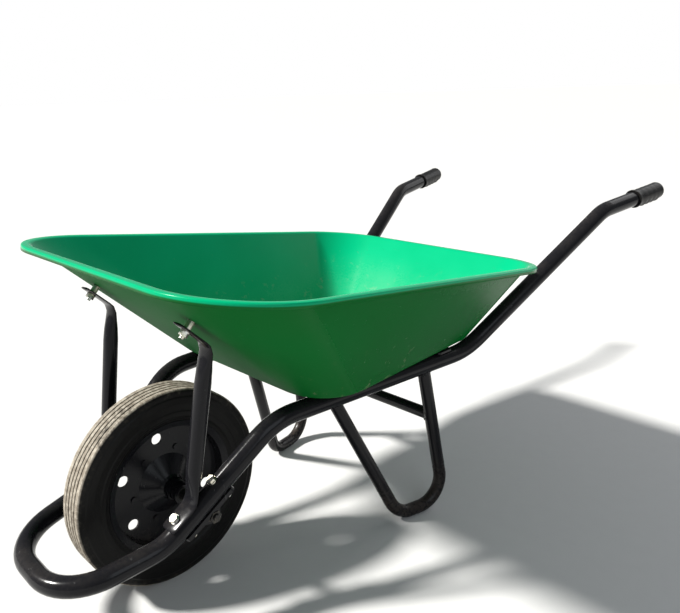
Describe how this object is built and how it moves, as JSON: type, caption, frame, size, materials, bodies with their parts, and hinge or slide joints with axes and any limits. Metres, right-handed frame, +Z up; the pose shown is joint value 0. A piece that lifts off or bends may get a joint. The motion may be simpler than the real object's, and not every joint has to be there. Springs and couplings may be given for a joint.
{
  "type": "wheelbarrow",
  "caption": "Builder's wheelbarrow: deep pressed steel tray on a bent tube frame that loops ahead of a solid-tyred wheel, with bent tube legs and hand grips.",
  "frame": {"origin": "under the middle of the whole length, on the ground, in the plane of symmetry", "axes": "+Z up; +Y from the wheel at the front towards the hand grips; +X to the side"},
  "size_m": [0.7164, 1.4572, 0.6043],
  "materials": {
    "frame_paint": "gloss black paint",
    "wheel_paint": "gloss black paint on pressed steel",
    "tray_paint": "gloss green paint",
    "zinc": "bright zinc plating",
    "tyre_rubber": "solid black rubber",
    "bush_nylon": "natural nylon",
    "grip_plastic": "soft black plastic"
  },
  "bodies": {
    "barrow": {"frame_tube": "frame_paint", "leg_right": "frame_paint", "leg_left": "frame_paint", "leg_cross_brace": "frame_paint", "tray_strap_front": "frame_paint", "tray_strap_rear": "frame_paint", "bearing_bracket_right": "frame_paint", "bearing_bracket_left": "frame_paint", "bracket_bolts": "zinc", "bracket_washers": "zinc", "bracket_nuts": "zinc", "tray": "tray_paint", "tray_bolts": "zinc", "tray_washers": "zinc", "tray_nuts": "zinc", "strut_right": "frame_paint", "strut_left": "frame_paint", "strut_bolts": "zinc", "strut_spacers": "zinc", "strut_washers": "zinc", "strut_nuts": "zinc", "axle": "zinc", "axle_spacers": "zinc", "axle_washers": "zinc", "axle_nuts": "zinc", "grip_right": "grip_plastic", "grip_left": "grip_plastic"},
    "wheel": {"tyre": "tyre_rubber", "wheel_disc_right": "wheel_paint", "wheel_disc_left": "wheel_paint", "disc_rivets": "wheel_paint", "hub_tube": "wheel_paint", "hub_bush_right": "bush_nylon", "hub_bush_left": "bush_nylon"}
  },
  "joints": [
    {"name": "wheel_spin", "type": "hinge", "parent": "barrow", "child": "wheel", "pos_m": [0, -0.46626, 0.178], "axis": [1, 0, 0], "continuous": true}
  ]
}
